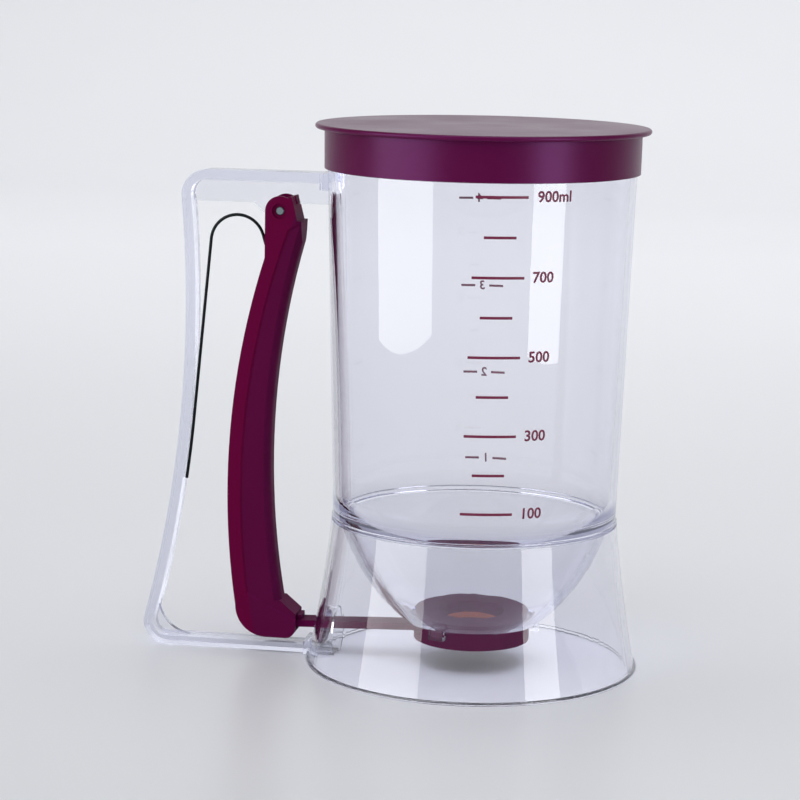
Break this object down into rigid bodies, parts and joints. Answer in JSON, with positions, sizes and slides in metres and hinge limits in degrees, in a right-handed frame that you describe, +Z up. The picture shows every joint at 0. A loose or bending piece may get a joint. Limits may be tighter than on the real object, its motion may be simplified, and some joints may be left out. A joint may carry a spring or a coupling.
{
  "type": "pancake batter dispenser",
  "caption": "Clear measuring jug with a funnel bottom, an open handle with a squeeze trigger, a sliding outlet shutter and a lift-off lid.",
  "frame": {"origin": "centre of the base ring, on the surface the dispenser stands on", "axes": "+Z up through the funnel's outlet and the lid; the handle lies towards -X and the front scale faces -Y"},
  "size_m": [0.1745, 0.1154, 0.1869],
  "materials": {
    "clear_plastic": "clear, polished",
    "plum_plastic": "satin plum",
    "steel": "bright",
    "spring_wire": "dark",
    "seal_rubber": "matt reddish silicone"
  },
  "bodies": {
    "housing": {"jug": "clear_plastic", "base_skirt": "clear_plastic", "handle_frame": "clear_plastic", "trigger_pin": "steel", "return_spring": "spring_wire", "valve_cap": "plum_plastic", "valve_seal": "seal_rubber"},
    "lid": {"lid": "plum_plastic"},
    "trigger": {"trigger": "plum_plastic"},
    "shutter": {"valve_slide": "plum_plastic"}
  },
  "joints": [
    {"name": "lid_lift", "type": "slide", "parent": "housing", "child": "lid", "axis": [0, 0, 1], "range_m": [0, 0.06]},
    {"name": "trigger_pivot", "type": "hinge", "parent": "housing", "child": "trigger", "pos_m": [-0.0688, 0, 0.1559], "axis": [0, 1, 0], "range_deg": [0, 8.5], "stiffness_Nm_per_rad": 2.5, "springref_deg": -5.73, "deforming": ["return_spring"]},
    {"name": "shutter_slide", "type": "slide", "parent": "housing", "child": "shutter", "axis": [-1, 0, 0], "range_m": [0, 0.0215]}
  ],
  "couplings": [
    {"joint": "shutter_slide", "follows": "trigger_pivot", "m_per_rad": 0.1432}
  ]
}
